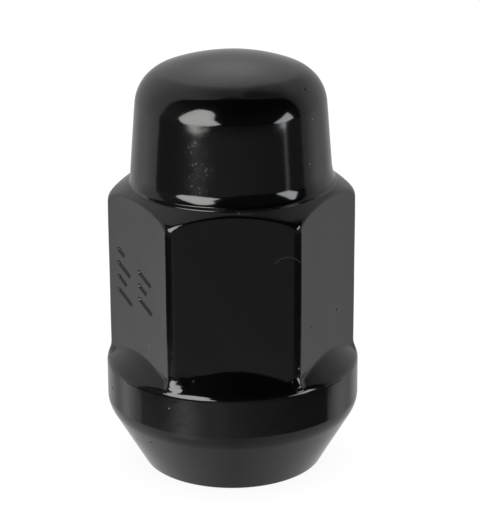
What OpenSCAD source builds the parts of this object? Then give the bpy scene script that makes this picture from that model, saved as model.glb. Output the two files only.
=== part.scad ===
// Closed-end bulge acorn lug nut: a hexagon with a domed end above it and a conical seat below,
// forged as one piece and bored for its thread from the seat end. The nut stands on its nose at
// z = 0, with the stud's axis along Z and one flat of the hexagon facing -Y.

/* [Nose and seat] */
// Overall height, from the nose to the crown of the dome
nut_height = 37.15; // [36:0.05:42]
// Radius at which the cone of the seat would meet the nose
nose_r = 8; // [7.4:0.05:8.6]
// Radius that breaks the outer edge of the nose
nose_edge_r = 0.3; // [0.1:0.05:0.8]
// Whole angle of the conical seat
seat_angle = 60; // [50:1:75]
// Radius that blends the seat into the bulge
seat_blend_r = 2.6; // [0.5:0.1:4]

/* [Bulge] */
// Radius of the bulge, the widest part of the nut
bulge_r = 11.25; // [11.1:0.05:12.2]
// Height at which the side of the bulge would meet the shoulder above it
bulge_top_z = 9.7; // [9.4:0.05:13]
// Slope of the shoulder that climbs from the bulge to the flats, above level
bulge_shoulder_angle = 46; // [20:1:50]
// Radius along the upper edge of the bulge
bulge_edge_r = 0.9; // [0.4:0.1:2]

/* [Hexagon] */
// Width across the flats, for a 3/4 inch socket
hex_af = 19.05; // [18.6:0.05:19.4]
// Radius along each of the six upright corners
hex_corner_r = 0.9; // [0.3:0.05:1.5]
// Height at which the corners would meet the chamfer above them
hex_top_z = 24.85; // [20:0.05:26]
// Slope of the chamfer that closes the hexagon, below level
hex_chamfer_angle = 33; // [25:1:40]
// Radius along the outer edge of the chamfer
hex_chamfer_edge_r = 1.5; // [0.3:0.1:2.5]

/* [Dome] */
// Radius of the dome's side where it would reach the ledge
dome_foot_r = 8.85; // [8.3:0.05:8.95]
// Draft of the dome's side, inwards from upright
dome_draft = 4.5; // [0:0.1:7]
// Radius between the dome's side and its crown
dome_shoulder_r = 3.4; // [1.5:0.1:5]
// Radius of the shallow crown
dome_crown_r = 17; // [12:0.5:40]

/* [Die ledge round the dome's foot] */
// Radius of the narrow step where the dome's die met the hexagon's die
ledge_r = 9.1; // [9:0.05:9.4]
// Height of that step
ledge_height = 0.35; // [0.1:0.05:0.6]
// Hollow radius that flares the dome's side out to the step
flare_r = 1.7; // [1:0.1:3]

/* [Thread bore] */
// Radius of the bore before tapping, for a 1/2 inch by 20 thread
bore_r = 5.75; // [5.5:0.01:6]
// Radius of the countersink at the nose
mouth_r = 6.7; // [6.4:0.05:7.1]
// Whole angle of the countersink
mouth_angle = 90; // [60:5:120]
// Depth at which the straight wall of the bore ends
bore_depth = 29.5; // [20:0.5:31]
// Whole angle of the drill point at the blind end
drill_point_angle = 118; // [90:1:140]

/* [Hidden] */
$fn = 96;

// Straight pieces that stand for each arc of a turned outline
arc_steps = 12;
// Depth by which a cutting shape runs past the face that it cuts
overrun = 1;

// The hexagon: half its width across flats, the centre of a corner's radius, and its full reach
hex_apothem = hex_af / 2;
hex_corner_centre = (hex_apothem - hex_corner_r) / cos(30);
hex_reach = hex_corner_centre + hex_corner_r;

// The seat: height at which its cone would meet the side of the bulge
seat_top_z = (bulge_r - nose_r) / tan(seat_angle / 2);

// The shoulder runs on inside the hexagon to this radius, so the two solids join all round
shoulder_inner_r = hex_apothem - bulge_edge_r;
shoulder_inner_z = bulge_top_z + (bulge_r - shoulder_inner_r) * tan(bulge_shoulder_angle);

// The ledge stands where the chamfer reaches its radius
ledge_foot_z = hex_top_z + (hex_reach - ledge_r) * tan(hex_chamfer_angle);
ledge_top_z = ledge_foot_z + ledge_height;
ledge_edge = [ledge_r, ledge_top_z];

// The dome: its side climbs from this point, along side_way, with side_out facing away from the axis
side_foot = [dome_foot_r, ledge_top_z];
side_way = [-sin(dome_draft), cos(dome_draft)];
side_out = [cos(dome_draft), sin(dome_draft)];
crown_centre = [0, nut_height - dome_crown_r];

// The bore: depth of its countersink and of its drill point
mouth_depth = (mouth_r - bore_r) / tan(mouth_angle / 2);
drill_point_depth = bore_r / tan(drill_point_angle / 2);

// Angle of a direction in an outline, and the direction of an angle
function angle_of(way) = atan2(way[1], way[0]);
function way_of(angle) = [cos(angle), sin(angle)];
function heading(from, to) = (to - from) / norm(to - from);

// Points along an arc, both ends included
function arc(centre, radius, from, to) =
    [for (step = [0 : arc_steps]) centre + radius * way_of(from + (to - from) * step / arc_steps)];

// Highest point of a line that lies at a given distance from another point
function point_at_distance(line_point, line_way, from, distance) =
    let (
        offset = line_point - from,
        along = offset * line_way
    )
    line_point + line_way * (sqrt(along * along - offset * offset + distance * distance) - along);

// Arc that rounds the corner b of the path a, b, c
function rounded(a, b, c, radius) =
    let (
        back = heading(b, a),
        ahead = heading(b, c),
        half = acos(back * ahead) / 2,
        centre = b + heading([0, 0], back + ahead) * radius / sin(half),
        first = angle_of(b + back * radius / tan(half) - centre),
        last = angle_of(b + ahead * radius / tan(half) - centre),
        turn = (last - first + 540) % 360 - 180
    )
    arc(centre, radius, first, first + turn);

// Hexagonal bar with its upright corners rounded and one flat facing -Y
module hexagon_outline() {
    polygon([for (corner = [0 : 60 : 300], side = [-30, 30])
        hex_corner_centre * way_of(corner) + hex_corner_r * way_of(corner + side)]);
    for (corner = [0 : 60 : 300])
        translate(hex_corner_centre * way_of(corner))
            circle(r = hex_corner_r);
}

module hexagon_bar() {
    translate([0, 0, seat_top_z])
        linear_extrude(nut_height - seat_top_z)
            hexagon_outline();
}

// Turned solid that trims the bar: its chamfer, the ledge, and the dome standing on it
module dome_and_chamfer() {
    flare_centre = point_at_distance(side_foot + flare_r * side_out, side_way, ledge_edge, flare_r);
    shoulder_centre = point_at_distance(
        side_foot - dome_shoulder_r * side_out, side_way, crown_centre, dome_crown_r - dome_shoulder_r);
    crown_edge_angle = angle_of(shoulder_centre - crown_centre);
    chamfer_edge = [hex_reach, hex_top_z];
    ledge_foot = [ledge_r, ledge_foot_z];
    rotate_extrude()
        polygon(concat(
            [[0, seat_top_z], [hex_reach, seat_top_z]],
            rounded([hex_reach, seat_top_z], chamfer_edge, ledge_foot, hex_chamfer_edge_r),
            [ledge_foot],
            arc(flare_centre, flare_r, angle_of(ledge_edge - flare_centre), dome_draft - 180),
            arc(shoulder_centre, dome_shoulder_r, dome_draft, crown_edge_angle),
            arc(crown_centre, dome_crown_r, crown_edge_angle, 90)
        ));
}

// Turned solid of the nose, the conical seat, the bulge and its shoulder
module seat_and_bulge() {
    nose_corner = [nose_r, 0];
    seat_corner = [bulge_r, seat_top_z];
    bulge_corner = [bulge_r, bulge_top_z];
    shoulder_end = [shoulder_inner_r, shoulder_inner_z];
    rotate_extrude()
        polygon(concat(
            [[0, 0]],
            rounded([0, 0], nose_corner, seat_corner, nose_edge_r),
            rounded(nose_corner, seat_corner, bulge_corner, seat_blend_r),
            rounded(seat_corner, bulge_corner, shoulder_end, bulge_edge_r),
            [shoulder_end, [0, shoulder_inner_z]]
        ));
}

// Countersink, straight bore and drill point, cut from the nose
module thread_bore() {
    rotate_extrude()
        polygon([
            [0, -overrun],
            [mouth_r + overrun * tan(mouth_angle / 2), -overrun],
            [bore_r, mouth_depth],
            [bore_r, bore_depth],
            [0, bore_depth + drill_point_depth]
        ]);
}

module lug_nut() {
    color("#17181a")
        difference() {
            union() {
                intersection() {
                    hexagon_bar();
                    dome_and_chamfer();
                }
                seat_and_bulge();
            }
            thread_bore();
        }
}

lug_nut();
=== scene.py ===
# %% [markdown]
# # A black acorn lug nut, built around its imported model
#
# The real object is one forging. A hexagon for the socket has a closed dome above it and a wide
# round bulge below it, and the bulge ends in the cone that seats in the wheel. The whole nut is
# dipped in a glossy black coat, so what the eye sees is made of reflections: the shape has to be
# right to a tenth of a millimetre, and the lamps have to stand where the studio's lamps stood.
#
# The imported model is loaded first, as a fixed frame. Every piece below is made in metres in that
# frame, so nothing has to be fitted afterwards.

import math

import bpy
import numpy as np
from mathutils import Matrix, Vector


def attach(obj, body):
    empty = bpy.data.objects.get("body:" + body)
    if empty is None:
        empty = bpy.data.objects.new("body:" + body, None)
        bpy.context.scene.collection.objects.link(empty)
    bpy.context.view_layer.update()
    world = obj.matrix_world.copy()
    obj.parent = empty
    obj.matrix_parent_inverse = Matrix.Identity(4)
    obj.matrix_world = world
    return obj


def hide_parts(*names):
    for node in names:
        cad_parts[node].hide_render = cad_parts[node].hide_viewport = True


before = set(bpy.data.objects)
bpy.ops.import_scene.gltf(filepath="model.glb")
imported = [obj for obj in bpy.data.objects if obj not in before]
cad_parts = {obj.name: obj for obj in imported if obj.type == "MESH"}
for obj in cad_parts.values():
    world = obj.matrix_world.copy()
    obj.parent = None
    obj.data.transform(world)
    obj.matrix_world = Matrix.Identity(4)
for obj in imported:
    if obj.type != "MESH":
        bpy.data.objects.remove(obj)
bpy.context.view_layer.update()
print("frame loaded, its nodes are", sorted(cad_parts))

# %% [markdown]
# ## Sizes
#
# A nut is thought of in millimetres, so the sizes are too, and one factor turns them into metres
# at the end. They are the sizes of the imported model. The last few round what the plain model
# leaves sharp, because a dipped coat has no sharp edge anywhere, and each edge draws a thin line
# of light.

# %% Sizes in millimetres
MM = 0.001

HEIGHT = 37.15
NOSE_R, NOSE_EDGE_R = 8.0, 0.3
SEAT_ANGLE, SEAT_BLEND_R = 60.0, 2.6
BULGE_R, BULGE_TOP_Z, BULGE_SLOPE, BULGE_EDGE_R = 11.25, 9.7, 46.0, 0.9
FLATS, CORNER_R = 19.05, 0.9
HEX_TOP_Z, CHAMFER_SLOPE, CHAMFER_EDGE_R = 24.85, 33.0, 1.5
LEDGE_R, LEDGE_H, FLARE_R = 9.1, 0.35, 1.7
DOME_FOOT_R, DOME_DRAFT, DOME_SHOULDER_R, CROWN_R = 8.85, 4.5, 3.4, 17.0
MOUTH_R, MOUTH_DEPTH = 6.7, 0.95
THREAD_MINOR_R, THREAD_MAJOR_R, PITCH = 5.75, 6.35, 1.27
BORE_DEPTH, DRILL_ANGLE = 29.5, 118.0

SOFT_TOP, SOFT_BOTTOM = 0.24, 0.2  # how gently the flats meet the chamfer and the shoulder
EDGE_OVERHANG = 0.14  # makes up for what the soft crossing takes off the corners
PILLOW = 0.025  # how far the middle of a flat stands proud of its ends
MOUTH_EDGE_R = 0.15
SHOULDER_REACH = 2.2  # how far the shoulder runs on inside the flats

APOTHEM = FLATS / 2
CORNER_CENTRE = (APOTHEM - CORNER_R) / math.cos(math.radians(30))
REACH = CORNER_CENTRE + CORNER_R
LEDGE_FOOT_Z = HEX_TOP_Z + (REACH - LEDGE_R) * math.tan(math.radians(CHAMFER_SLOPE))
LEDGE_TOP_Z = LEDGE_FOOT_Z + LEDGE_H

# The ledge as the dies left it on three sides: its radius, height, foot fillet and lip fillet, and
# the flare above it as the radius and the turn of its upper part and the radius of the rest
LEDGE_FRONT = (LEDGE_R, LEDGE_H, 0.15, 0.12, (FLARE_R, 0.0, FLARE_R))
LEDGE_LEFT = (8.95, 0.0, 0.04, 0.0, (FLARE_R, 0.0, FLARE_R))
LEDGE_RIGHT = (9.16, 0.16, 0.03, 0.03, (4.4, 13.0, 0.8))
print(f"the hexagon reaches {REACH:.2f} mm, and the ledge starts {LEDGE_FOOT_Z:.2f} mm up")

# %% [markdown]
# ## Outline tools
#
# A lathe tool would cut most of this nut, so an outline drives it. An outline is a row of points,
# each with the direction in which the surface faces there. Blender could guess that direction
# from the facets, but next to a small fillet it would lend a false curve to a long flat, and a
# gloss coat shows it at once. So the facings are kept and handed to the mesh.

# %% Arcs, straight faces and fillets, with their facings
def turn(angle):
    """Direction of an angle in degrees, as (outwards, upwards)."""
    return np.array([math.cos(math.radians(angle)), math.sin(math.radians(angle))])


def angle_of(way):
    """Angle of a direction, in degrees."""
    return math.degrees(math.atan2(way[1], way[0]))


def ease(x, start, end):
    """0 before start, 1 after end, smooth between them."""
    share = np.clip((x - start) / (end - start), 0, 1)
    return share * share * (3 - 2 * share)


def arc(centre, radius, first, last, count, hollow=False):
    """Points of an arc and their facings. A hollow arc faces its own centre."""
    angles = np.radians(np.linspace(first, last, count))
    ways = np.c_[np.cos(angles), np.sin(angles)]
    return np.c_[centre + radius * ways, -ways if hollow else ways]


def straight(start, end, count):
    """Points between two others. On the way from nose to crown the solid lies on the left."""
    start, end = np.asarray(start, float), np.asarray(end, float)
    way = (end - start) / np.linalg.norm(end - start)
    shares = np.linspace(0, 1, count + 2)[1:-1, None]
    return np.c_[start + (end - start) * shares, np.tile([way[1], -way[0]], (count, 1))]


def fillet(a, b, c, radius, count, hollow=False):
    """Arc that rounds the corner b of the path a, b, c."""
    a, b, c = (np.asarray(p, float) for p in (a, b, c))
    back, ahead = (a - b) / np.linalg.norm(a - b), (c - b) / np.linalg.norm(c - b)
    half = math.acos(back @ ahead) / 2
    centre = b + (back + ahead) / np.linalg.norm(back + ahead) * radius / math.sin(half)
    first = angle_of(b + back * radius / math.tan(half) - centre)
    last = angle_of(b + ahead * radius / math.tan(half) - centre)
    return arc(centre, radius, first, first + (last - first + 540) % 360 - 180, count, hollow)


def along(point, way, other, distance):
    """Highest point of a line that lies at a given distance from another point."""
    offset = point - other
    share = offset @ way
    return point + way * (math.sqrt(share * share - offset @ offset + distance * distance) - share)


print("outline tools are ready")

# %% [markdown]
# ## Two turned outlines
#
# The lower outline is the nose, the cone, the bulge and the shoulder that runs in under the
# flats. Along each corner where two of its faces meet there is a fillet, because the real dies
# are rounded there and the coat fills what is left.

# %% The lower outline, from the countersink to the shoulder
def lower_outline():
    """Lip, nose, cone, bulge and shoulder, with a fillet at each corner."""
    seat_top = (BULGE_R - NOSE_R) / math.tan(math.radians(SEAT_ANGLE / 2))
    inner_r = APOTHEM - SHOULDER_REACH
    inner_z = BULGE_TOP_Z + (BULGE_R - inner_r) * math.tan(math.radians(BULGE_SLOPE))
    countersink, mouth, nose = (THREAD_MINOR_R, MOUTH_DEPTH), (MOUTH_R, 0), (NOSE_R, 0)
    seat, edge, end = (BULGE_R, seat_top), (BULGE_R, BULGE_TOP_Z), (inner_r, inner_z)
    lip = fillet(countersink, mouth, nose, MOUTH_EDGE_R, 6)
    foot = fillet(mouth, nose, seat, NOSE_EDGE_R, 8)
    blend = fillet(nose, seat, edge, SEAT_BLEND_R, 18)
    rim = fillet(seat, edge, end, BULGE_EDGE_R, 18)
    nose_face = straight(lip[-1, :2], foot[0, :2], 3)
    cone = straight(foot[-1, :2], blend[0, :2], 12)
    side = straight(blend[-1, :2], rim[0, :2], 6)
    shoulder = straight(rim[-1, :2], end, 12)
    return np.vstack([lip, nose_face, foot, cone, blend, side, rim, shoulder])


lower = lower_outline()
print(len(lower), "points in the lower outline")

# %% [markdown]
# The upper outline is the chamfer, the narrow ledge where two forging dies met, and the dome. The
# dies never meet quite true, so the ledge isn't the same all round: it is tall at the front left,
# lower on the right, and gone on the left. Three outlines are drawn, and a later step passes from
# one to the next round the nut. Above the ledge they are one and the same dome, whose side is
# drawn in by a few hundredths of a millimetre near its top.

# %% The flare between ledge and dome
def flare_outline(ledge, side_foot, top_r, top_turn, low_r):
    """Hollow from the ledge up to the dome's side: two arcs, the upper one through top_turn."""
    side_way, side_out = turn(DOME_DRAFT + 90), turn(DOME_DRAFT)
    depth = (ledge - side_foot) @ side_out
    first = math.radians(top_turn)
    top_depth = top_r * (1 - math.cos(first))
    last = math.acos(math.cos(first) - (depth - top_depth) / low_r)
    angles = np.linspace(last, 0, 22)
    top, low = np.minimum(angles, first), np.maximum(angles, first)
    inwards = top_r * (1 - np.cos(top)) + low_r * (math.cos(first) - np.cos(low))
    upwards = top_r * np.sin(top) + low_r * (np.sin(low) - math.sin(first))
    climb, inset = (upwards[0] - upwards)[:, None], (depth - inwards)[:, None]
    ways = np.radians(DOME_DRAFT) + angles
    return np.c_[ledge + climb * side_way - inset * side_out, np.cos(ways), np.sin(ways)]


def ledge_outline(chamfer_edge, ledge_foot, ledge, above, foot_r, lip_r):
    """Foot fillet, wall and lip of the ledge, or only a hollow corner where there is no wall."""
    if ledge[1] - ledge_foot[1] < 1e-6:
        return fillet(chamfer_edge, ledge, above, foot_r, 7, True)
    hollow = fillet(chamfer_edge, ledge_foot, ledge, foot_r, 7, True)
    lip = fillet(ledge_foot, ledge, above, lip_r, 7)
    return np.vstack([hollow, straight(hollow[-1, :2], lip[0, :2], 2), lip])


print("flare and ledge tools are ready")

# %% The slight barrel of the dome's side
BARREL = 0.03
BARREL_HEIGHTS = (32.0, 34.4)


def barrelled(outline):
    """The outline drawn in a little near the top of the dome's side, and its facings with it."""
    r, z = outline[:, 0], outline[:, 1]
    small = 0.01
    share = ease(z, *BARREL_HEIGHTS)
    drawn_in = 1 - BARREL / DOME_FOOT_R * share
    slope = BARREL * (ease(z + small, *BARREL_HEIGHTS) - share) / small
    facing = np.arctan2(outline[:, 3], outline[:, 2])
    facing = facing + np.arctan(slope) * np.cos(facing)
    return np.c_[r * drawn_in, z, np.cos(facing), np.sin(facing)]


print(f"the top of the dome's side is drawn in by {BARREL} mm")

# %% The upper outline, for a given ledge
def upper_outline(ledge_r, ledge_h, foot_r, lip_r, flare_shape):
    """Chamfer, ledge, flare, the dome's side, shoulder and crown."""
    slope = math.tan(math.radians(CHAMFER_SLOPE))
    chamfer_edge = np.array([REACH + EDGE_OVERHANG, HEX_TOP_Z - EDGE_OVERHANG * slope])
    ledge_foot = np.array([ledge_r, HEX_TOP_Z + (REACH - ledge_r) * slope])
    ledge = ledge_foot + [0, ledge_h]
    side_foot = np.array([DOME_FOOT_R, LEDGE_TOP_Z])
    side_way, side_out = turn(DOME_DRAFT + 90), turn(DOME_DRAFT)
    crown_centre = np.array([0, HEIGHT - CROWN_R])
    shoulder_centre = along(side_foot - DOME_SHOULDER_R * side_out, side_way, crown_centre,
                            CROWN_R - DOME_SHOULDER_R)
    crown_from = angle_of(shoulder_centre - crown_centre)
    flare = flare_outline(ledge, side_foot, *flare_shape)
    edge = fillet((chamfer_edge[0], 0), chamfer_edge, ledge_foot, CHAMFER_EDGE_R, 14)
    above = ledge + [-flare[0, 3], flare[0, 2]]
    step = ledge_outline(chamfer_edge, ledge_foot, ledge, above, foot_r, lip_r)
    shoulder = arc(shoulder_centre, DOME_SHOULDER_R, DOME_DRAFT, crown_from, 30)
    crown = arc(crown_centre, CROWN_R, crown_from, 90, 26)
    chamfer = straight(edge[-1, :2], step[0, :2], 24)
    side = straight(flare[-1, :2], shoulder[0, :2], 14)
    return barrelled(np.vstack([edge, chamfer, step, flare[1:], side, shoulder, crown[1:]]))


LEDGES = (LEDGE_FRONT, LEDGE_LEFT, LEDGE_RIGHT)
uppers = [upper_outline(*ledge) for ledge in LEDGES]
upper = uppers[0]
print(len(uppers), "upper outlines of", len(upper), "points each")

# %% [markdown]
# ## Where the hexagon meets the turned faces
#
# The forging is a hexagonal bar trimmed by the upper outline and standing on the lower one. In
# CSG that is an intersection and a union. Blender's boolean modifier could do it, but it leaves
# slivers and a knife edge along every curved crossing. Here the surface is one function instead,
# the radius at an angle and a height, and a smooth minimum and maximum take the place of the two
# booleans. They leave a soft crossing, as the coat does, and the arcs on the flats come by
# themselves. The slope of the function gives the facings.

# %% The hexagon, and a smooth minimum
HALF_FLAT = math.radians(30)  # angle from the middle of a flat to its corner
CORNER_HALF = math.atan2(CORNER_R / 2, CORNER_CENTRE + CORNER_R * math.cos(HALF_FLAT))
FLAT_END = APOTHEM * math.tan(HALF_FLAT - CORNER_HALF)


def hexagon_radius(theta):
    """Reach of the rounded hexagon, with one flat facing -Y and each flat a little crowned."""
    off = (theta + math.pi / 2 + HALF_FLAT) % (2 * HALF_FLAT) - HALF_FLAT
    corner_off = HALF_FLAT - np.abs(off)
    inside = np.maximum(CORNER_R ** 2 - (CORNER_CENTRE * np.sin(corner_off)) ** 2, 0)
    corner = CORNER_CENTRE * np.cos(corner_off) + np.sqrt(inside)
    share = np.minimum(np.abs(APOTHEM * np.tan(off) / FLAT_END), 1)
    flat = (APOTHEM + PILLOW * (1 - share ** 4)) / np.cos(off)
    return np.where(corner_off > CORNER_HALF, flat, corner)


def soft_least(a, b, softness):
    """Smooth minimum of a and b, and how much of a is in it."""
    near = np.maximum(softness - np.abs(a - b), 0) / softness
    share = np.where(a < b, 1 - near / 2, near / 2)
    return np.minimum(a, b) - near * near * softness / 4, share


def read_outline(outline, z):
    """Radius of an outline at each height, and the slope of that radius."""
    facing = np.arctan2(outline[:, 3], outline[:, 2])
    facing_at = np.interp(z, outline[:, 1], facing)
    return np.interp(z, outline[:, 1], outline[:, 0]), -np.tan(facing_at)


print(f"a flat is {2 * FLAT_END:.2f} mm wide between its corner radii")

# %% The trimming outline at each angle
CORNER_EASE = 0.6  # the trimming outline stands clear of the corners below
EASE_FROM, EASE_TO = 12.0, HEX_TOP_Z - 1.0
TO_FRONT, TO_RIGHT, TO_LEFT = (-168, -142), (-97, -84), (92, 119)  # where one ledge takes over
collar = [[REACH + CORNER_EASE, z, 1, 0] for z in (0, EASE_FROM)]
approach = straight((REACH + CORNER_EASE, EASE_FROM), (REACH + EDGE_OVERHANG, EASE_TO), 5)
trims = [np.vstack([collar, approach, outline]) for outline in uppers]


def ledge_shares(theta):
    """How much of the front, the left and the right ledge there is at each angle."""
    angle = (np.degrees(theta) + 240) % 360 - 240
    to_front, to_right, to_left = (ease(angle, *ends) for ends in (TO_FRONT, TO_RIGHT, TO_LEFT))
    return np.array([to_front - to_right, 1 - to_front + to_left, to_right - to_left])


def read_trim(theta, z):
    """Radius of the trimming outline, and its slopes along the angle and the height."""
    step = 1e-4
    shares_turn = (ledge_shares(theta + step) - ledge_shares(theta - step)) / (2 * step)
    total = np.zeros((3, *theta.shape))
    for outline, share, share_turn in zip(trims, ledge_shares(theta), shares_turn):
        radius, rise = read_outline(outline, z)
        total += [share * radius, share_turn * radius, share * rise]
    return total


print("ledge radius and height at the front left, left and right:", [ledge[:2] for ledge in LEDGES])

# %% The outline that the hexagon stands on, and the coat pooled at its corners
STAND_FROM = 6.6
STAND_REACH = 4.0  # how far the shoulder's slope is drawn on inwards
stand = lower[lower[:, 1] > STAND_FROM]
climb = STAND_REACH * math.tan(math.radians(BULGE_SLOPE))
stand = np.vstack([stand, stand[-1] + [-STAND_REACH, climb, 0, 0]])

# Pools of coat at the foot of the corners: the angles between which each comes in, then those
# between which it goes, and how much softer it makes the crossing
POOLS = [
    (-124, -121, -117, -111, 0.8), (-117, -114, -110, -104, 0.3), (-65, -61, -59, -55, 1.0),
    (-5, -1, 1, 5, 0.6), (55, 59, 62, 68, 0.8), (114, 119, 121, 125, 0.6), (175, 178, 182, 187, 0.7),
]
POOL_HEIGHTS = (9.5, 10.2)


def foot_softness(theta, z):
    """How gently the hexagon meets the shoulder at each place."""
    angle = (np.degrees(theta) + 150) % 360 - 150
    pooled = sum(amount * ease(angle, first, second) * (1 - ease(angle, third, fourth))
                 for first, second, third, fourth, amount in POOLS)
    return SOFT_BOTTOM + pooled * ease(z, *POOL_HEIGHTS)


print(len(POOLS), "pools of coat")

# %% Radius of the surface at an angle and a height
def surface(theta, z):
    """Radius of the nut between bulge and dome, and its slopes along the angle and the height."""
    step = 1e-4
    bar = hexagon_radius(theta)
    bar_turn = (hexagon_radius(theta + step) - hexagon_radius(theta - step)) / (2 * step)
    trim_r, trim_turn, trim_rise = read_trim(theta, z)
    stand_r, stand_rise = read_outline(stand, z)
    body, bar_share = soft_least(bar, trim_r, SOFT_TOP)
    body_turn = bar_share * bar_turn + (1 - bar_share) * trim_turn
    body_rise = (1 - bar_share) * trim_rise
    soft = foot_softness(theta, z)
    radius, body_share = soft_least(-body, -stand_r, soft)
    gain = np.maximum(soft ** 2 - (body - stand_r) ** 2, 0) / (4 * soft ** 2)
    soft_turn = (foot_softness(theta + step, z) - foot_softness(theta - step, z)) / (2 * step)
    soft_rise = (foot_softness(theta, z + step) - foot_softness(theta, z - step)) / (2 * step)
    turn_slope = body_share * body_turn + gain * soft_turn
    rise_slope = body_share * body_rise + (1 - body_share) * stand_rise + gain * soft_rise
    return -radius, turn_slope, rise_slope


print(f"a corner stands {surface(np.array([0.0]), np.array([18.0]))[0][0]:.3f} mm from the axis")

# %% [markdown]
# ## Marks struck into one face
#
# Such nuts carry a few strokes struck into one flat. Here they are a plain tally of bars, some
# long and some short. A bump map would vanish at the grazing angle from which this face is seen,
# so the bars are pressed into the mesh, and the columns of the mesh are packed close under them.

# %% The bars of the tally and how deep they go
MARK_FACE = math.radians(-150)
MARK_DEPTH, MARK_HALF_WIDTH, MARK_WALL = 0.2, 0.06, 0.19
MARK_LEAN = 0.35  # how far a bar sinks for each mm along the face
MARK_COLUMNS = [  # left end, top, lengths of the bars, and their spacing
    (-3.3, 20.3, (0.9, 1.9, 1.2, 2.1), 1.25),
    (0.4, 19.3, (1.9, 1.1, 2.0), 1.25),
]
MARKS = [((left, top - k * spacing), (left + length, top - k * spacing - MARK_LEAN * length))
         for left, top, lengths, spacing in MARK_COLUMNS for k, length in enumerate(lengths)]
MARKS_FROM, MARKS_TO, MARKS_LEFT, MARKS_RIGHT = 15.4, 20.8, -3.7, 2.8  # where the mesh is fine
MARK_STEP = 0.085


def mark_depth(theta, z):
    """How deep the strokes are pressed in at each place."""
    off = (theta - MARK_FACE + math.pi) % (2 * math.pi) - math.pi
    on_face = np.abs(off) < HALF_FLAT
    place = np.stack([APOTHEM * np.tan(np.where(on_face, off, 0)), z], -1)
    nearest = np.full(theta.shape, HEIGHT)
    for start, end in MARKS:
        start, run = np.array(start), np.subtract(end, start)
        share = np.clip((place - start) @ run / (run @ run), 0, 1)
        away = np.linalg.norm(place - start - share[..., None] * run, axis=-1)
        nearest = np.minimum(nearest, away)
    fall = ease(nearest, MARK_HALF_WIDTH, MARK_HALF_WIDTH + MARK_WALL)
    return np.where(on_face, MARK_DEPTH * (1 - fall), 0)


print(len(MARKS), "bars")

# %% [markdown]
# ## The thread
#
# A half-inch stud with twenty threads to the inch screws in from the nose. The thread is a real
# helix: the depth of the groove depends on the height less the part of a pitch that the angle
# has used up. It fades out before the end of the drilled hole, where a tap runs out.

# %% Radius of the tapped bore
ROOT_SHARE, CREST_SHARE = 0.17, 0.70  # in half pitches, where the root ends and the crest starts
ROUNDED_SHARE = 0.35  # how much of the flank's form is rounded off
THREAD_FADE_FROM, THREAD_FADE_TO = 25.6, 27.4
MOUTH_SOFTNESS = 0.05


def bore_radius(theta, z):
    """Radius of the thread and of the countersink, whichever is wider."""
    phase = np.abs((z / PITCH - theta / (2 * math.pi)) % 1 - 0.5) * 2
    flank = np.clip((CREST_SHARE - phase) / (CREST_SHARE - ROOT_SHARE), 0, 1)
    groove = ease(flank, 0, 1) * ROUNDED_SHARE + flank * (1 - ROUNDED_SHARE)
    fade = np.clip((THREAD_FADE_TO - z) / (THREAD_FADE_TO - THREAD_FADE_FROM), 0, 1)
    threaded = THREAD_MINOR_R + (THREAD_MAJOR_R - THREAD_MINOR_R) * groove * fade
    countersink = MOUTH_R - z * (MOUTH_R - THREAD_MINOR_R) / MOUTH_DEPTH
    return -soft_least(-threaded, -countersink, MOUTH_SOFTNESS)[0]


print(f"{(THREAD_FADE_TO - MOUTH_DEPTH) / PITCH:.0f} turns of thread")

# %% [markdown]
# ## One closed skin
#
# The nut is one piece, so its mesh is one closed skin: from the drill point down the thread, over
# the nose, up the outside and in to the crown. It is made of rings. A ring may have few columns,
# as on the dome, or many, as on the struck face, and where two kinds meet, one face takes all the
# spare points of the finer ring along its edge, so no gap is left.
#
# One kind of ring has few columns, one has many close to the corners, and one lies in the bore.

# %% Columns of the three kinds of ring
COARSE_STEP = 2.5
LEAST_GAP = 0.0035  # closer columns, in radians, are left out

coarse = np.radians(np.arange(0, 360, COARSE_STEP))
bore_columns = coarse[::2]
corner_offsets = [o * side for o in (0.36, 0.72, 1.08, 1.44, 1.8, 2.13) for side in (-1, 1)]
at_corners = [math.radians(60 * k + offset) for k in range(6) for offset in corner_offsets]
under_marks = MARK_FACE + np.arctan(np.arange(MARKS_LEFT, MARKS_RIGHT, MARK_STEP) / APOTHEM)
fine = np.unique(np.round(np.concatenate([coarse, at_corners, under_marks]) % (2 * math.pi), 6))
coarse_set = {round(float(t), 6) for t in coarse}
fine = fine[[t for t in range(len(fine)) if round(float(fine[t]), 6) in coarse_set
             or abs(fine[t] - fine[t - 1]) > LEAST_GAP]]
print("columns in the bore, on the dome and on the flats:", len(bore_columns), len(coarse), len(fine))

# %% [markdown]
# ## What the dies and the dip left
#
# A forged and dipped part is never quite true, and a gloss coat shows it. A slow ripple of a
# hundredth of a millimetre, always inwards, lets the reflections wander a little. The upper die
# stood a hair askew, so the chamfer and the ledge climb towards +X, and the rim of the bulge
# climbs a fifth of a millimetre towards the front.

# %% Ripple in the coat
RIPPLE_MEAN, RIPPLE_SLOW, RIPPLE_QUICK = 0.010, 0.008, 0.0012
CALM_HEIGHT = 1.5  # the ripple dies out towards the nose


def ripple(points):
    """A slow, small wave in the coat, from 0 to about 0.02 mm inwards."""
    x, y, z = points[..., 0], points[..., 1], points[..., 2]
    slow = np.sin(0.83 * x + 0.41 * z + 0.7) * np.sin(0.77 * y - 0.35 * z + 1.9)
    quick = np.sin(2.3 * x - 1.1 * z + 2.2) * np.sin(2.1 * y + 1.7 * z + 0.4)
    return -RIPPLE_MEAN + RIPPLE_SLOW * slow + RIPPLE_QUICK * quick


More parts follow.
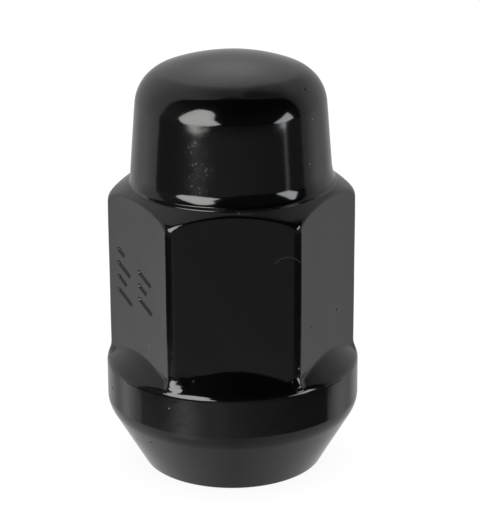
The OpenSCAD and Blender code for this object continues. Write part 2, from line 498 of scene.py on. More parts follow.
def pressed(points, facings):
    """Points moved by the ripple, and facings turned to suit."""
    step = 0.02
    calm = np.clip(points[..., 2:] / CALM_HEIGHT, 0, 1)
    slope = np.stack([(ripple(points + step * axis) - ripple(points - step * axis)) / (2 * step)
                      for axis in np.eye(3)], -1) * calm
    across = slope - (slope * facings).sum(-1, keepdims=True) * facings
    turned = facings - across
    return (points + ripple(points)[..., None] * facings * calm,
            turned / np.linalg.norm(turned, axis=-1, keepdims=True))


print(f"ripple at the crown: {ripple(np.array([0, 0, HEIGHT])):.3f} mm")

# %% Lean of the dies
TOP_LEAN, RIM_LEAN = 0.008, 0.0195  # rise for each mm towards +X, and towards the front
# Each lean: rise along X and Y, where it comes in, where it goes, and what stays above
LEANS = [
    ((TOP_LEAN, 0.0), (21.5, 24.0), (27.0, 30.0), 0.25),
    ((0.0, -RIM_LEAN), (7.0, 8.8), (13.5, 16.0), 0.0),
]


def lean_share(z, comes, goes, stays):
    """How much of a lean each height takes."""
    return ease(z, *comes) * (1 - (1 - stays) * ease(z, *goes))


def leaned(points, facings):
    """Points moved up or down by the leans, and facings turned to suit."""
    small = 0.01
    for ways, *heights in LEANS:
        z = points[..., 2]
        reach = points[..., :2] @ np.array(ways)
        share = lean_share(z, *heights)
        growth = 1 + reach * (lean_share(z + small, *heights) - share) / small
        points = points + np.stack([0 * z, 0 * z, share * reach], -1)
        up = facings[..., 2:] / growth[..., None]
        facings = np.concatenate([facings[..., :2] - np.array(ways) * share[..., None] * up, up], -1)
        facings = facings / np.linalg.norm(facings, axis=-1, keepdims=True)
    return points, facings


print(f"{len(LEANS)} leans, and the bulge's rim climbs {RIM_LEAN * BULGE_R:.2f} mm at the front")

# %% Rings of an outline and of a radius
def ring_of_outline(columns, point):
    """Ring of a turned outline's point."""
    r, z, out, rise = point
    cos, sin = np.cos(columns), np.sin(columns)
    return (np.stack([r * cos, r * sin, np.full_like(cos, z)], -1),
            np.stack([out * cos, out * sin, np.full_like(cos, rise)], -1))


def ring_of_radius(columns, z, radius, turn_slope, rise_slope, inwards=False):
    """Ring whose radius is a function of the angle, with facings from its two slopes."""
    cos, sin = np.cos(columns), np.sin(columns)
    lean = turn_slope / radius
    facing = np.stack([cos + lean * sin, sin - lean * cos, -rise_slope * np.ones_like(cos)], -1)
    facing /= np.linalg.norm(facing, axis=-1, keepdims=True)
    points = np.stack([radius * cos, radius * sin, np.full_like(cos, z)], -1)
    return points, -facing if inwards else facing


def slopes(function, theta, z):
    """A function's value and its two slopes, by small differences."""
    small = 2e-3
    along_turn = (function(theta + small, z) - function(theta - small, z)) / (2 * small)
    along_rise = (function(theta, z + small) - function(theta, z - small)) / (2 * small)
    return function(theta, z), along_turn, along_rise


def flat_ring(theta, z):
    """Ring of the hexagon zone, with the strokes pressed in."""
    radius, turn_slope, rise_slope = surface(theta, np.full_like(theta, z))
    depth, depth_turn, depth_rise = slopes(mark_depth, theta, np.full_like(theta, z))
    return ring_of_radius(theta, z, radius - depth, turn_slope - depth_turn,
                          rise_slope - depth_rise)


def finished(points, facings):
    """A ring as the dip and the dies left it."""
    return leaned(*pressed(points, facings))


print("rings are ready to be made")

# %% All rings, from the drill point to the crown
RINGS_PER_TURN = 12
HEX_FROM, FOOT_END = 9.3, 12.6
ARCS_FROM = HEX_TOP_Z - 1.4
FLARE_END = LEDGE_TOP_Z + 1.3
LEDGE_ZONE = (LEDGE_FOOT_Z - 0.15, LEDGE_TOP_Z + 0.15)
FOOT_STEP, ARC_STEP, LEDGE_STEP, FLARE_STEP = 0.065, 0.075, 0.03, 0.09
ROW_GAP, ZONE_GAP, DOME_GAP = 0.1, 0.05, 0.02
NEAR_AXIS = 0.05

rings = []  # each is (columns, points, facings, is it in the bore)
for z in np.arange(BORE_DEPTH, MOUTH_EDGE_R, -PITCH / RINGS_PER_TURN):
    values = slopes(bore_radius, bore_columns, np.full_like(bore_columns, z))
    rings.append((bore_columns, *ring_of_radius(bore_columns, z, *values, inwards=True), True))

for point in lower[lower[:, 1] < HEX_FROM]:
    rings.append((coarse, *finished(*ring_of_outline(coarse, point)), False))

hex_rows = np.unique(np.round(np.concatenate([
    np.arange(HEX_FROM, FOOT_END, FOOT_STEP),
    np.linspace(FOOT_END + ROW_GAP, MARKS_FROM, 6),
    np.arange(MARKS_FROM, MARKS_TO, MARK_STEP),
    np.linspace(MARKS_TO, ARCS_FROM - ROW_GAP, 5),
    np.arange(ARCS_FROM, LEDGE_ZONE[0], ARC_STEP),
    np.arange(*LEDGE_ZONE, LEDGE_STEP),
    np.arange(LEDGE_ZONE[1] + ZONE_GAP, FLARE_END, FLARE_STEP)]), 4))
for z in hex_rows:
    rings.append((fine, *finished(*flat_ring(fine, z)), False))

for point in upper[(upper[:, 1] > hex_rows[-1] + DOME_GAP) & (upper[:, 0] > NEAR_AXIS)]:
    rings.append((coarse, *finished(*ring_of_outline(coarse, point)), False))
print(len(rings), "rings, of which", len(hex_rows), "cross the hexagon")

# %% Stitch the rings into a skin
def stitch(low_columns, low_first, high_columns, high_first):
    """Faces between two rings. Each spans one gap of the coarser ring."""
    finer_is_high = len(high_columns) >= len(low_columns)
    few, many = (low_columns, high_columns) if finer_is_high else (high_columns, low_columns)
    place = np.searchsorted(many, few - 1e-5)
    faces = []
    for k in range(len(few)):
        start, end = place[k], place[(k + 1) % len(few)]
        end += len(many) if end <= start else 0
        run = [j % len(many) for j in range(start, end + 1)]
        pair = [k, (k + 1) % len(few)]
        low_run, high_run = (pair, run) if finer_is_high else (run, pair)
        faces.append([low_first + j for j in low_run]
                     + [high_first + j for j in reversed(high_run)])
    return faces


def fan(centre, first, count):
    """Triangles between a point and a ring of points that starts at first."""
    return [[centre, first + j, first + (j + 1) % count] for j in range(count)]


def skin(rings):
    """Points, facings, faces of the closed skin, and which of the faces lie in the bore."""
    points, facings = [r[1] for r in rings], [r[2] for r in rings]
    firsts = np.cumsum([0] + [len(p) for p in points])
    faces, in_bore = [], []
    for k in range(len(rings) - 1):
        made = stitch(rings[k][0], firsts[k], rings[k + 1][0], firsts[k + 1])
        faces += made
        in_bore += [rings[k][3] and rings[k + 1][3]] * len(made)
    drill_tip = [0, 0, BORE_DEPTH + THREAD_MINOR_R / math.tan(math.radians(DRILL_ANGLE / 2))]
    crown_top = [0, 0, points[-1][0, 2] + (HEIGHT - points[-1][0, 2]) * 0.5]
    tip, top = firsts[-1], firsts[-1] + 1
    count, last = len(points[0]), len(points[-1])
    faces += [face[::-1] for face in fan(tip, 0, count)] + fan(top, firsts[-2], last)
    in_bore += [True] * count + [False] * last
    points += [np.array([drill_tip]), np.array([crown_top])]
    facings += [np.array([[0, 0, -1.0]]), np.array([[0, 0, 1.0]])]
    return np.vstack(points), np.vstack(facings), faces, in_bore


points, facings, faces, in_bore = skin(rings)
mesh = bpy.data.meshes.new("lug_nut_skin")
mesh.from_pydata((points * MM).tolist(), [], faces)
mesh.polygons.foreach_set("use_smooth", [True] * len(mesh.polygons))
mesh.polygons.foreach_set("material_index", [int(b) for b in in_bore])
mesh.update()
mesh.normals_split_custom_set_from_vertices(facings.tolist())
nut = bpy.data.objects.new("lug_nut_coated", mesh)
bpy.context.scene.collection.objects.link(nut)
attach(nut, "root")
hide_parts("lug_nut")
triangles = sum(len(f) - 2 for f in faces)
print(f"skin of {len(points)} points, {triangles} triangles")

# %% [markdown]
# ## Effects that the finishes share
#
# Coat and thread share three effects, the dimples, the mottling and the specks, held in two node
# groups with named inputs, each built once. They give out heights and masks only, and the shader
# stays in the material. All of them read object coordinates, so they hold on to the nut from any side.

# %% A small kit for node trees
def wire(tree, kind, inputs=None, **settings):
    """Adds a node, sets it, and links or sets its inputs."""
    node = tree.nodes.new(kind)
    for name, value in settings.items():
        setattr(node, name, value)
    for key, value in (inputs or {}).items():
        if isinstance(value, bpy.types.NodeSocket):
            tree.links.new(value, node.inputs[key])
        else:
            node.inputs[key].default_value = value
    return node


def calc(tree, operation, a, b=0.0, clamp=False):
    """One step of arithmetic."""
    node = wire(tree, "ShaderNodeMath", {0: a, 1: b}, operation=operation, use_clamp=clamp)
    return node.outputs[0]


def times(tree, a, b, clamp=False):
    return calc(tree, "MULTIPLY", a, b, clamp)


def plus(tree, a, b, clamp=False):
    return calc(tree, "ADD", a, b, clamp)


def on_object(tree):
    """Place in the object's own coordinates."""
    return wire(tree, "ShaderNodeTexCoord").outputs["Object"]


def distance(tree, place, centre):
    """Distance between a place and a fixed point."""
    node = wire(tree, "ShaderNodeVectorMath", {0: place, 1: centre}, operation="DISTANCE")
    return node.outputs["Value"]


def noise(tree, place, scale, detail):
    """Grey noise."""
    inputs = {"Vector": place, "Scale": scale, "Detail": detail}
    return wire(tree, "ShaderNodeTexNoise", inputs).outputs["Fac"]


def blend(tree, share, first, second):
    """Colour between two others."""
    inputs = {"Factor": share, 6: first, 7: second}
    return wire(tree, "ShaderNodeMix", inputs, data_type="RGBA").outputs[2]


def bump(tree, height, distance, strength=1.0):
    """Facing of a surface with a fine relief."""
    inputs = {"Height": height, "Distance": distance, "Strength": strength}
    return wire(tree, "ShaderNodeBump", inputs).outputs["Normal"]


def new_group(name, inputs, outputs):
    """An empty node group with float inputs and outputs."""
    tree = bpy.data.node_groups.new(name, "ShaderNodeTree")
    kind = "NodeSocketFloat"
    for label, value in inputs.items():
        socket = tree.interface.new_socket(label, in_out="INPUT", socket_type=kind)
        socket.default_value = value
    for label in outputs:
        tree.interface.new_socket(label, in_out="OUTPUT", socket_type=kind)
    return tree, tree.nodes.new("NodeGroupInput").outputs, tree.nodes.new("NodeGroupOutput").inputs


def placed(tree, group, **values):
    """A node group placed in a material with its own values."""
    node = tree.nodes.new("ShaderNodeGroup")
    node.node_tree = group
    for label, value in values.items():
        node.inputs[label.capitalize()].default_value = value
    return node.outputs


def new_material(name):
    """An empty material, its tree and its output node."""
    material = bpy.data.materials.new(name)
    material.use_nodes = True
    tree = material.node_tree
    tree.nodes.clear()
    return material, tree, tree.nodes.new("ShaderNodeOutputMaterial")


print("node kit is ready")

# %% Orange peel: the fine dimples of a dipped coat
GRAIN_SHARE = 0.12
CLOUDS_PER_MM = 0.22

peel_tree, peel_in, peel_out = new_group(
    "coat_peel", {"Size": 0.9, "Grain": 0.12}, ["Height", "Mottle"])
where = on_object(peel_tree)
dimples = noise(peel_tree, where, calc(peel_tree, "DIVIDE", 1 / MM, peel_in["Size"]), 1.0)
grain = noise(peel_tree, where, calc(peel_tree, "DIVIDE", 1 / MM, peel_in["Grain"]), 2.0)
relief = plus(peel_tree, dimples, times(peel_tree, grain, GRAIN_SHARE))
peel_tree.links.new(relief, peel_out["Height"])
peel_tree.links.new(noise(peel_tree, where, CLOUDS_PER_MM / MM, 3.0), peel_out["Mottle"])
print("group made:", peel_tree.name)

# %% Pits and dust: specks scattered one to a cell, most cells left empty
SPECK_EDGE, SPOT_EDGE, SCRATCH_EDGE = 1.6, 1.5, 1.4  # how far each kind's soft edge reaches

speck_tree, speck_in, speck_out = new_group(
    "coat_specks", {"Cell": 2.2, "Radius": 0.05, "Rarity": 0.93}, ["Mask"])
cell_scale = calc(speck_tree, "DIVIDE", 1 / MM, speck_in["Cell"])
cells = wire(speck_tree, "ShaderNodeTexVoronoi", {"Vector": on_object(speck_tree), "Scale": cell_scale})
colours = wire(speck_tree, "ShaderNodeSeparateColor", {"Color": cells.outputs["Color"]}).outputs
chosen = calc(speck_tree, "GREATER_THAN", colours["Red"], speck_in["Rarity"])
reach = calc(speck_tree, "DIVIDE", speck_in["Radius"], speck_in["Cell"])
fall = calc(speck_tree, "DIVIDE", cells.outputs["Distance"], reach)
dot = calc(speck_tree, "SUBTRACT", SPECK_EDGE, fall, clamp=True)
speck_tree.links.new(times(speck_tree, dot, chosen), speck_out["Mask"])
print("group made:", speck_tree.name)

# %% [markdown]
# ## The black coat
#
# A dip coat over phosphated steel: almost no colour of its own, and a gloss that mirrors the
# studio. A metallic shader would mirror far too much. A dielectric with a black base is what the
# coat is, so its mirror is weak from the front and strong at grazing angles. Dimples, slow
# mottling of the gloss, a few pinholes and a little dust keep it from looking like glass.

# %% Pinholes, dust and dusty patches, each as (angle round the axis, height, radius)
PINHOLES = [(-34.4, 35.1, 0.13), (-20.9, 15.0, 0.14), (-48.6, 15.0, 0.1), (-119.7, 8.6, 0.1),
            (-161.9, 7.8, 0.12), (-172.9, 9.9, 0.1), (-147.3, 3.7, 0.1), (-133.3, 4.4, 0.11),
            (152, 31.0, 0.1), (40, 14.0, 0.12), (95, 21.5, 0.1)]
DUST = [(-138.2, 13.0, 0.09), (-140.6, 11.8, 0.08), (-59.3, 11.9, 0.08), (-35.6, 32.7, 0.07),
        (-40.6, 29.0, 0.07), (-87.2, 25.9, 0.06), (70, 33.0, 0.08)]
DUSTY_PATCHES = [(-112, 31.0, 0.7), (-111, 30.0, 0.6), (-106, 30.9, 0.5), (-107, 29.3, 0.8),
                 (-112, 28.2, 0.7), (-109, 27.6, 0.6), (-155, 26.0, 1.3), (-170, 25.6, 1.2),
                 (35, 30.5, 1.2), (120, 29.0, 1.4)]


def on_skin(angle, height):
    """The point of the nut's side at an angle and a height."""
    theta = math.radians(angle)
    if height < HEX_FROM or height > FLARE_END:
        table = upper if height > HEX_FROM else lower[lower[:, 0] > NOSE_R]
        radius = float(np.interp(height, table[:, 1], table[:, 0]))
    else:
        radius = float(surface(np.array([theta]), np.array([height]))[0][0])
    return (radius * math.cos(theta) * MM, radius * math.sin(theta) * MM, height * MM)


def spots(tree, places):
    """Mask of round spots at given places."""
    where = on_object(tree)
    total = 0.0
    for angle, height, radius in places:
        share = calc(tree, "DIVIDE", distance(tree, where, on_skin(angle, height)), radius * MM)
        spot_mask = calc(tree, "SUBTRACT", SPOT_EDGE, share, clamp=True)
        total = calc(tree, "MAXIMUM", total, spot_mask)
    return total


print("pinholes, specks of dust and dusty patches:", len(PINHOLES), len(DUST), len(DUSTY_PATCHES))

# %% A fine scratch: the upper part of a small ring on the front flat
SCRATCH_CENTRE, SCRATCH_R, SCRATCH_HALF_WIDTH = (4.57, -APOTHEM, 20.84), 1.25, 0.045
SCRATCH_FROM_Z = 21.5


def scratch(tree):
    """Mask of the scratch."""
    where = on_object(tree)
    away = distance(tree, where, tuple(MM * c for c in SCRATCH_CENTRE))
    off = calc(tree, "ABSOLUTE", calc(tree, "SUBTRACT", away, SCRATCH_R * MM))
    share = calc(tree, "DIVIDE", off, SCRATCH_HALF_WIDTH * MM)
    line = calc(tree, "SUBTRACT", SCRATCH_EDGE, share, clamp=True)
    height = wire(tree, "ShaderNodeSeparateXYZ", {"Vector": where}).outputs["Z"]
    return times(tree, line, calc(tree, "GREATER_THAN", height, SCRATCH_FROM_Z * MM))


print("the scratch is", 2 * SCRATCH_HALF_WIDTH, "mm wide")

# %% The coat's material
COAT_BLACK, DUST_GREY = (0.0003, 0.0003, 0.0003, 1), (0.11, 0.105, 0.1, 1)
COAT_IOR, COAT_ROUGHNESS, PATCHY_GLOSS = 1.5, 0.085, 0.05
HAZE, PATCH_DUST, FINE_DUST, SCRATCHED = 0.07, 0.2, 0.35, 0.16  # how grey each makes the coat
DULL_PIT, DULL_DUST = 0.5, 0.6
DIMPLE_RELIEF, PIT_RELIEF = 0.0035, 0.05


def coat_material():
    """Black gloss with dimples, pinholes, dust and the scratch."""
    material, tree, output = new_material("black_dip_coat")
    peel = placed(tree, peel_tree, size=0.85, grain=0.16)
    fine_pits = placed(tree, speck_tree, cell=1.9, radius=0.045, rarity=0.94)
    fine_dust = placed(tree, speck_tree, cell=1.3, radius=0.03, rarity=0.95)
    patch_dust = placed(tree, speck_tree, cell=0.3, radius=0.07, rarity=0.5)
    pits = calc(tree, "MAXIMUM", spots(tree, PINHOLES), fine_pits["Mask"])
    haze = plus(tree, times(tree, peel["Mottle"], HAZE), times(tree, patch_dust["Mask"], PATCH_DUST))
    in_patches = times(tree, spots(tree, DUSTY_PATCHES), haze)
    settled = calc(tree, "MAXIMUM", times(tree, fine_dust["Mask"], FINE_DUST), in_patches)
    marred = calc(tree, "MAXIMUM", settled, times(tree, scratch(tree), SCRATCHED))
    dust = calc(tree, "MAXIMUM", spots(tree, DUST), marred)
    patchy = times(tree, calc(tree, "SUBTRACT", peel["Mottle"], 0.5), PATCHY_GLOSS)
    rough = plus(tree, plus(tree, patchy, COAT_ROUGHNESS), times(tree, pits, DULL_PIT))
    rough = plus(tree, rough, times(tree, dust, DULL_DUST), clamp=True)
    dimples = times(tree, peel["Height"], DIMPLE_RELIEF)
    sink = calc(tree, "SUBTRACT", dimples, times(tree, pits, PIT_RELIEF))
    shader = wire(tree, "ShaderNodeBsdfPrincipled",
                  {"Base Color": blend(tree, dust, COAT_BLACK, DUST_GREY), "Roughness": rough,
                   "IOR": COAT_IOR, "Normal": bump(tree, sink, MM)})
    tree.links.new(shader.outputs[0], output.inputs["Surface"])
    return material


mesh.materials.append(coat_material())
print("material made:", mesh.materials[0].name)

# %% [markdown]
# Inside, the coat is thin. The tap has worn its crests through to the steel, and the roots keep
# the dark coat, so the material looks at how far each point lies from the axis.

# %% The thread's material
ROOT_BLACK, WORN_STEEL = (0.012, 0.0115, 0.011, 1), (0.16, 0.155, 0.15, 1)
WORN_DEPTH, WORN_SHARE = 0.12, 1.3  # how far below the crests the wear reaches, and how full it is
THREAD_ROUGHNESS, THREAD_PATCHY, THREAD_PITS, THREAD_RELIEF = 0.24, 0.2, 0.3, 0.01


def thread_material():
    """Dark roots and worn crests, told apart by the distance from the axis."""
    material, tree, output = new_material("thin_coat_in_thread")
    peel = placed(tree, peel_tree, size=0.5, grain=0.09)
    pits = placed(tree, speck_tree, cell=0.8, radius=0.05, rarity=0.85)
    split = wire(tree, "ShaderNodeSeparateXYZ", {"Vector": on_object(tree)}).outputs
    flat = wire(tree, "ShaderNodeCombineXYZ", {0: split[0], 1: split[1]}).outputs[0]
    radius = wire(tree, "ShaderNodeVectorMath", {0: flat}, operation="LENGTH").outputs["Value"]
    crest = wire(tree, "ShaderNodeMapRange",
                 {"Value": radius, "From Min": (THREAD_MINOR_R + WORN_DEPTH) * MM,
                  "From Max": THREAD_MINOR_R * MM}).outputs[0]
    worn = times(tree, crest, times(tree, peel["Mottle"], WORN_SHARE), clamp=True)
    rough = plus(tree, times(tree, peel["Mottle"], THREAD_PATCHY), THREAD_ROUGHNESS)
    rough = plus(tree, rough, times(tree, pits["Mask"], THREAD_PITS), clamp=True)
    shader = wire(tree, "ShaderNodeBsdfPrincipled",
                  {"Base Color": blend(tree, worn, ROOT_BLACK, WORN_STEEL), "Roughness": rough,
                   "Metallic": worn, "IOR": COAT_IOR,
                   "Normal": bump(tree, peel["Height"], THREAD_RELIEF * MM)})
    tree.links.new(shader.outputs[0], output.inputs["Surface"])
    return material


mesh.materials.append(thread_material())
print("materials on the nut:", [m.name for m in mesh.materials])

# %% [markdown]
# ## The studio
#
# The nut stood on white, in a cloth tent that is open towards the camera. In the black coat the
# open front shows as the dark rectangle on the dome, the cloth as the grey round it, and two soft
# boxes as the bright patches. The tent is one shell round the nut, painted with light: each
# point's glow depends on its direction from the nut. The tent and the lamps are seen in the gloss
# only, and the camera sees the white floor and the white world.

# %% Glow of the tent in each direction
def heading(azimuth, elevation):
    """Direction of an azimuth, 0 towards the camera and rising to the right, and an elevation."""
    a, e = math.radians(azimuth), math.radians(elevation)
    return np.array([math.sin(a) * math.cos(e), -math.cos(a) * math.cos(e), math.sin(e)])


def spot(ways, azimuth, elevation, width):
    """A round glow, 1 in its middle, with a soft edge of the given width in degrees."""
    off = np.degrees(np.arccos(np.clip(ways @ heading(azimuth, elevation), -1, 1)))
    return np.exp(-(off / width) ** 2 / 2)


def beside(azimuth, middle, width):
    """1 along a meridian, falling off to both sides."""
    return np.exp(-((azimuth - middle) / width) ** 2 / 2)


print("straight ahead of the camera's side:", heading(0, 0))

# %% [markdown]
# The cloth's glow is put together from what the photograph's reflections tell. The back and both
# sides are lit cloth, with a hot spot high at the back where a lamp shines through. The front is
# open, dark above the table's edge and dim below it, and low down it is dark further round. The
# white table in front shows as the ground, with the left lamp's glare on it. Each term below is an
# amount of light and where it comes in, by azimuth and elevation in degrees or by how far the
# direction points to the right (x) or to the back (y).

# %% Glow of the cloth, the open front and the ground
HOT_SPOT, LEFT_GLARE = (179, 43), (-46, -27)


def cloth_glow(ways, el):
    """Back and sides: grey cloth, dimmer overhead and at the right, with a few soft patches."""
    x, y = ways[:, 0], ways[:, 1]
    glow = 0.66 - 0.05 * x
    glow = glow - 0.22 * (1 - ease(y, 0, 0.35)) * ease(x, 0, 0.5)
    glow = glow - 0.12 * ease(el, 15, 35) * ease(x, 0.3, 0.8)
    glow = glow - 0.2 * ease(el, 40, 58) * ease(x, 0.08, 0.25)
    glow = glow - 0.16 * ease(y, 0.6, 1) - 0.3 * ease(el, 55, 88)
    glow = glow - 0.2 * spot(ways, 152, 38, 10) - 0.1 * spot(ways, -158, 40, 8)
    glow = glow + 0.7 * spot(ways, *HOT_SPOT, 11) + 0.45 * spot(ways, -113, -23, 6)
    glow = glow + 0.2 * spot(ways, 112, -22, 8)
    return glow - 0.2 * spot(ways, -132, -21, 7) - 0.2 * spot(ways, 132, -21, 7)


def low_gap(el):
    """1 in the band low down where the cloth ends above the table."""
    return ease(el, -23.2, -22.6) * (1 - ease(el, -18.5, -17.5))


def front_glow(ways, az, el):
    """The open front: near black above the table's edge, dim below it, with the lamps' streaks."""
    x = ways[:, 0]
    high = 0.02 + 0.03 * (1 - ease(el, 10, 40)) + 0.33 * ease(el, 68, 90)
    high = high + 0.13 * ease(-x, 0.6, 1.0) + 0.07 * spot(ways, -60, 35, 22)
    low = 0.25 - 0.11 * np.maximum(x, 0) - 0.1 * ease(-x, 0.5, 1)
    lower = 0.31 - 0.25 * np.maximum(x, 0) + 0.13 * ease(-x, 0, 0.2) - 0.15 * ease(-x, 0.5, 0.95)
    low = low + (lower - low) * (1 - ease(el, -23.5, -21.5))
    beyond = ease(np.abs(az + 3), 12, 26)
    low = low * (1 - 0.6 * low_gap(el) * beyond) + 0.16 * low_gap(el) * beside(az, -17, 7)
    under_lamps = 0.1 * beside(az, -44, 13) + 0.85 * beside(az, 64.5, 1.7)
    low = low + under_lamps * ease(el, -15, -12)
    glare = 0.75 * spot(ways, *LEFT_GLARE, 8.5) * (1 - ease(el, -23.9, -23.3))
    return low + (high - low) * ease(el, -7.4, -3.6) + glare


def ground_glow(ways):
    """The white table, brightest towards the lamps."""
    x, y = ways[:, 0], ways[:, 1]
    glow = 0.5 + 0.38 * np.maximum(-x, 0) + 0.22 * np.maximum(x, 0)
    return glow + 0.12 * np.maximum(y, 0) - 0.1 * np.maximum(-y, 0)


def tent_glow(ways):
    """All of it: the open front's upright and upper edges, and the ground below."""
    az = np.degrees(np.arctan2(ways[:, 0], -ways[:, 1]))
    el = np.degrees(np.arcsin(np.clip(ways[:, 2], -1, 1)))
    left_edge = 94 + 19 * low_gap(el) - 6 * ease(el, -12, 15) - 8 * ease(el, 25, 60)
    right_edge = 89 + 22 * low_gap(el) + 7 * (1 - ease(el, -23.2, -15))
    edge = np.where(az < 0, left_edge, right_edge)
    softness = 1.5 + 2.5 * ease(el, -5, 10)
    is_front = 1 - ease(np.abs(az), edge - softness, edge + softness)
    top_edge = 75 - 17 * (az / 66) ** 2
    is_front = is_front * (1 - ease(el, top_edge - 3, top_edge + 5) * ease(np.abs(az), 15, 45))
    cloth = cloth_glow(ways, el)
    upright = cloth + (front_glow(ways, az, el) - cloth) * is_front
    ground = ground_glow(ways) + 0.5 * spot(ways, *LEFT_GLARE, 8.5)
    return upright + (ground - upright) * (1 - ease(el, -27.0, -25.3))


print("glow of the hot spot:", tent_glow(heading(*HOT_SPOT)[None]).round(2))

# %% The tent, a shell round the nut
TENT_R, TENT_STEP = 2.0, 1.0  # metres and degrees


def band(first, count):
    """Faces between a ring of points that starts at first and the ring stored straight after it."""
    return [[first + j, first + count + j, first + count + (j + 1) % count, first + (j + 1) % count]
            for j in range(count)]


tent_az = np.radians(np.arange(0, 360, TENT_STEP))
tent_el = np.radians(np.arange(-90 + TENT_STEP, 90, TENT_STEP))
grid_el, grid_az = np.meshgrid(tent_el, tent_az, indexing="ij")
tent_ways = np.stack([np.cos(grid_el) * np.cos(grid_az), np.cos(grid_el) * np.sin(grid_az),
                      np.sin(grid_el)], -1).reshape(-1, 3)
tent_ways = np.vstack([tent_ways, [0, 0, -1], [0, 0, 1]])
rows, cols = grid_el.shape
tent_faces = [face for row in range(rows - 1) for face in band(row * cols, cols)]
tent_faces += fan(rows * cols, 0, cols)
tent_faces += [face[::-1] for face in fan(rows * cols + 1, (rows - 1) * cols, cols)]
NUT_MIDDLE = np.array([0, 0, HEIGHT / 2 * MM])
print("tent of", len(tent_faces), "faces")

# %% Glowing pieces of the studio
def glow_material(name, tint, strength):
    """Light whose strength is stored on the points of the mesh."""
    material, tree, output = new_material(name)
    glow = wire(tree, "ShaderNodeAttribute", attribute_name="glow").outputs["Fac"]
    power = times(tree, glow, strength)
    light = wire(tree, "ShaderNodeEmission", {"Color": (*tint, 1), "Strength": power})
    tree.links.new(light.outputs[0], output.inputs["Surface"])
    return material


def studio_piece(name, points, faces, glow, material):
    """A glowing card or shell that only the gloss sees."""
    mesh = bpy.data.meshes.new(name)
    mesh.from_pydata(np.asarray(points).tolist(), [], faces)
    painted = mesh.attributes.new("glow", "FLOAT", "POINT")
    painted.data.foreach_set("value", np.asarray(glow, np.float32))
    mesh.materials.append(material)
    piece = bpy.data.objects.new(name, mesh)
    bpy.context.scene.collection.objects.link(piece)
    piece.visible_camera = False
    piece.visible_shadow = False
    piece.visible_diffuse = False
    return piece


tent = studio_piece("light_tent", NUT_MIDDLE + TENT_R * tent_ways, tent_faces, tent_glow(tent_ways),
                    glow_material("tent_cloth", (1.0, 1.0, 1.0), 1.0))
tent.data.materials[0].cycles.emission_sampling = "NONE"
print("tent in place")

# %% [markdown]
# The soft boxes are given by the directions of their corners, as seen from the nut, because that
# is what a reflection tells. Each is a flat card, brightest in the middle.

# %% Two soft boxes
LAMP_DISTANCE = 1.8
LEFT_CORNERS = [(-66, 3), (-57, 22), (-34, 45), (-21, 27), (-21, 13), (-13, 2), (-28, -4.6),
                (-43, -6.6), (-56, -4.8)]
RIGHT_CORNERS = [(49, -4), (71, 15), (77, -1), (64, -6.8)]
LAMP_LEVELS = ((0.5, 1.0), (0.85, 0.9), (1.0, 0.72))  # share of the way out, and glow there


def soft_box(name, corners, tint, strength):
    """A flat card with the given corners, facing the nut."""
    ways = np.array([heading(*corner) for corner in corners])
    facing = ways.mean(0) / np.linalg.norm(ways.mean(0))
    middle = LAMP_DISTANCE * facing
    ends = LAMP_DISTANCE * ways / (ways @ facing)[:, None]
    count = len(corners)
    points, glow = [middle], [1.0]
    for share, level in LAMP_LEVELS:
        points += list(middle + share * (ends - middle))
        glow += [level] * count
    faces = fan(0, 1, count) + band(1, count) + band(1 + count, count)
    cloth = glow_material(name + "_cloth", tint, strength)
    return studio_piece(name, NUT_MIDDLE + points, faces, glow, cloth)


soft_box("soft_box_left", LEFT_CORNERS, (1.0, 0.99, 0.97), 8.0)
soft_box("soft_box_right", RIGHT_CORNERS, (0.93, 0.97, 1.0), 6.5)
print("two soft boxes")

# %% The floor and the world
FIBRES_PER_MM, FIBRE_RELIEF = 0.9, 0.02
PAPER_GREY, PAPER_GLOW = (0.16, 0.16, 0.16, 1), 0.9


def floor_material():
    """White paper. It glows a good deal, so the shadow under the nut stays very faint."""
    material, tree, output = new_material("white_paper")
    fibres = noise(tree, on_object(tree), FIBRES_PER_MM / MM, 4.0)
    paper = wire(tree, "ShaderNodeBsdfDiffuse",
                 {"Color": PAPER_GREY, "Normal": bump(tree, fibres, FIBRE_RELIEF * MM, 0.4)})
    glow = wire(tree, "ShaderNodeEmission", {"Color": (1, 1, 1, 1), "Strength": PAPER_GLOW})
    lit = wire(tree, "ShaderNodeAddShader", {0: paper.outputs[0], 1: glow.outputs[0]})
    under = wire(tree, "ShaderNodeBsdfTransparent")
    back = wire(tree, "ShaderNodeNewGeometry").outputs["Backfacing"]
    both = wire(tree, "ShaderNodeMixShader", {0: back, 1: lit.outputs[0], 2: under.outputs[0]})
    tree.links.new(both.outputs[0], output.inputs["Surface"])
    return material


FLOOR_HALF, FLOOR_DROP = 1.6, 0.00004
floor_mesh = bpy.data.meshes.new("floor")
floor_mesh.from_pydata([(x * FLOOR_HALF, y * FLOOR_HALF, -FLOOR_DROP) for x, y in
                        ((-1, -1), (1, -1), (1, 1), (-1, 1))], [], [[0, 1, 2, 3]])
floor_mesh.materials.append(floor_material())
floor = bpy.data.objects.new("floor", floor_mesh)
bpy.context.scene.collection.objects.link(floor)
floor.visible_glossy = False

world = bpy.data.worlds.new("white_room")
world.use_nodes = True
background = world.node_tree.nodes["Background"].inputs
background["Color"].default_value = (1, 1, 1, 1)
background["Strength"].default_value = 1.0
bpy.context.scene.world = world
bpy.context.scene.view_settings.view_transform = "Standard"
bpy.context.scene.view_settings.look = "None"
print("white floor and white world")

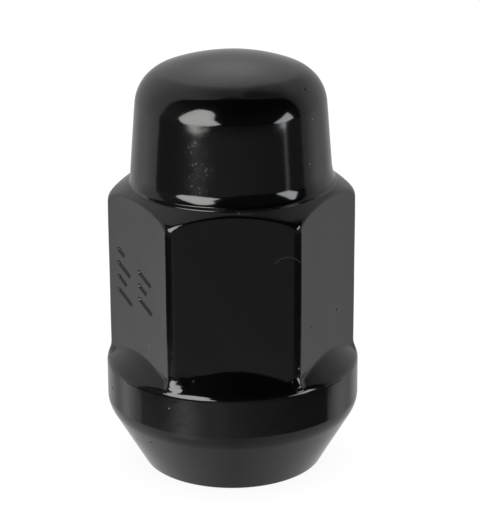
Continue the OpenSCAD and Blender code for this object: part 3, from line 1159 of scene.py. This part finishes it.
# %% [markdown]
# ## The camera
#
# A long lens, close to 20 degrees above the nut. Its place was worked out from the outline of the
# nut in the photograph: how much the top curves against how much the bottom curves gives the
# height, and how fast the sides taper gives the distance. The picture's middle lies a little to
# the right of the nut, so the camera aims there instead of shifting its lens.

# %% Place and aim the camera
IMAGE_LONG_SIDE = 531
FOCAL_PX = 2133.45  # focal length in pixels of the photograph
CAMERA_AZ, CAMERA_EL, CAMERA_ROLL = -0.732, 20.0, -0.393
CAMERA_DISTANCE = 188.78 * MM
CAMERA_TARGET = Vector((0, 0, 18.0 * MM))
AIM_RIGHT_PX, AIM_DOWN_PX = 8.01, 0.58  # how far the picture's middle lies from the target

back = Vector(heading(CAMERA_AZ, CAMERA_EL))
level_right = Vector((math.cos(math.radians(CAMERA_AZ)), math.sin(math.radians(CAMERA_AZ)), 0))
level_up = back.cross(level_right)
roll = math.radians(CAMERA_ROLL)
right = level_right * math.cos(roll) + level_up * math.sin(roll)
up = -level_right * math.sin(roll) + level_up * math.cos(roll)
camera_data = bpy.data.cameras.new("camera")
camera_data.sensor_width = 36.0
camera_data.lens = FOCAL_PX * camera_data.sensor_width / IMAGE_LONG_SIDE
camera_data.clip_start, camera_data.clip_end = 0.01, 10.0
camera = bpy.data.objects.new("camera", camera_data)
bpy.context.scene.collection.objects.link(camera)
position = CAMERA_TARGET + back * CAMERA_DISTANCE
metre_per_px = CAMERA_DISTANCE / FOCAL_PX
aim = CAMERA_TARGET + right * AIM_RIGHT_PX * metre_per_px - up * AIM_DOWN_PX * metre_per_px
out_of_lens = (position - aim).normalized()
camera_right = up.cross(out_of_lens).normalized()
camera_up = out_of_lens.cross(camera_right)
turned = Matrix((camera_right, camera_up, out_of_lens)).transposed().to_4x4()
camera.matrix_world = Matrix.Translation(position) @ turned
bpy.context.scene.camera = camera
print(f"lens {camera_data.lens:.1f} mm, {CAMERA_DISTANCE:.3f} m away")

# %% Finish
bpy.context.view_layer.update()
